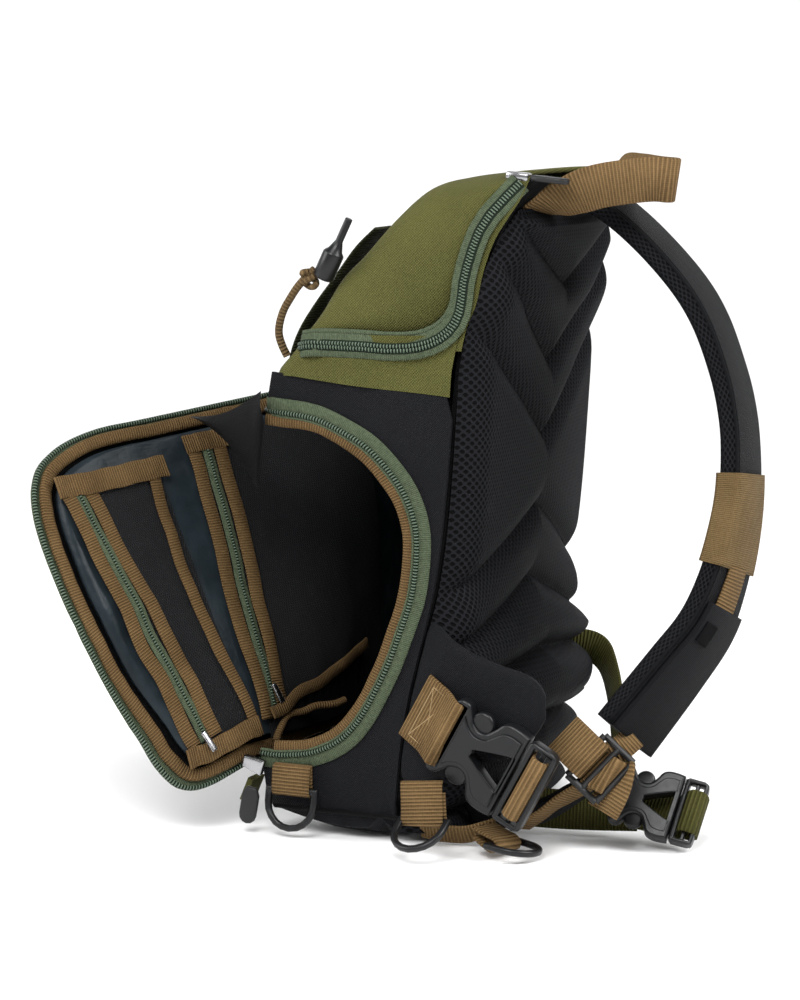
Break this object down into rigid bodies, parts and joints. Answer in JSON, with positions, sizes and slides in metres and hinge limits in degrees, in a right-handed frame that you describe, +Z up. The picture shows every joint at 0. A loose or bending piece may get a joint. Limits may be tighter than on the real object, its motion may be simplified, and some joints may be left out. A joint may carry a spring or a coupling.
{
  "type": "fishing tackle sling bag",
  "caption": "Sling backpack with a zipped top pocket, a panel-opening main compartment with inner mesh pockets, a quilted back pad, side buckles and a padded shoulder strap.",
  "frame": {"origin": "middle of the bounding box at ground level, with the bag standing on its base", "axes": "+Z up, +X from the bag front to the pad worn against the back, -Y towards the side where the front panel is open"},
  "size_m": [0.4066, 0.2938, 0.4104],
  "materials": {
    "olive_cloth": "woven olive oxford cloth",
    "black_cloth": "woven black nylon",
    "air_mesh": "black spacer mesh over foam",
    "lining": "smooth satin lining",
    "zip_tape": "sage green zip tape",
    "coyote": "ribbed coyote webbing and binding",
    "netting": "open black netting",
    "plastic": "satin moulded plastic",
    "rubber": "soft moulded rubber",
    "steel": "plated zip sliders",
    "olive_web": "dark olive webbing"
  },
  "bodies": {
    "bag": {"side_panel_near": "black_cloth", "side_panel_far": "black_cloth", "bottom_panel": "black_cloth", "back_panel": "black_cloth", "compartment_roof": "black_cloth", "opening_zip_tape": "zip_tape", "opening_binding": "coyote", "far_zip_tape": "zip_tape", "door_side_far": "black_cloth", "door_zip_tape": "zip_tape", "door_binding": "coyote", "door_panel": "lining", "door_pocket_1": "netting", "door_pocket_2": "netting", "inner_pocket": "netting", "door_gusset": "black_cloth", "top_lid": "olive_cloth", "top_zip_tape": "zip_tape", "top_band": "olive_cloth", "back_pad": "air_mesh", "wing_near": "black_cloth", "handle": "coyote", "shoulder_strap": "air_mesh", "strap_loop": "coyote", "strap_webbing": "coyote", "strap_sleeve": "black_cloth", "d_tab_1": "coyote", "d_tab_2": "coyote", "d_tab_3": "coyote", "buckle_near_female": "plastic", "buckle_near_male": "plastic", "buckle_webbing": "coyote", "male_webbing": "coyote", "adjuster": "plastic", "adjuster_webbing": "coyote", "buckle_far_female": "plastic", "buckle_far_male": "plastic", "link_webbing": "coyote", "far_webbing": "olive_web", "belt_webbing": "olive_web", "main_slider": "steel", "main_pull": "rubber", "top_slider": "steel", "top_pull": "rubber", "door_pull_1": "rubber", "door_pull_2": "rubber", "front_webbing": "olive_web", "front_tab": "olive_web", "bungee_cord": "coyote", "toggle": "plastic"},
    "ring_1": {"d_ring_1": "plastic"},
    "ring_2": {"d_ring_2": "plastic"},
    "ring_3": {"d_ring_3": "plastic"}
  },
  "joints": [
    {"name": "d_ring_1_swing", "type": "hinge", "parent": "bag", "child": "ring_1", "pos_m": [-0.05211, -0.08494, 0.02842], "axis": [1, 0, 0], "range_deg": [-60, 4]},
    {"name": "d_ring_2_swing", "type": "hinge", "parent": "bag", "child": "ring_2", "pos_m": [0.04319, -0.10154, 0.02282], "axis": [0.9931, -0.0997, 0.0618], "range_deg": [-50, 0]},
    {"name": "d_ring_3_swing", "type": "hinge", "parent": "bag", "child": "ring_3", "pos_m": [0.08319, -0.07654, 0.00802], "axis": [0.2438, 0.965, -0.0965], "range_deg": [-24, 0]}
  ]
}
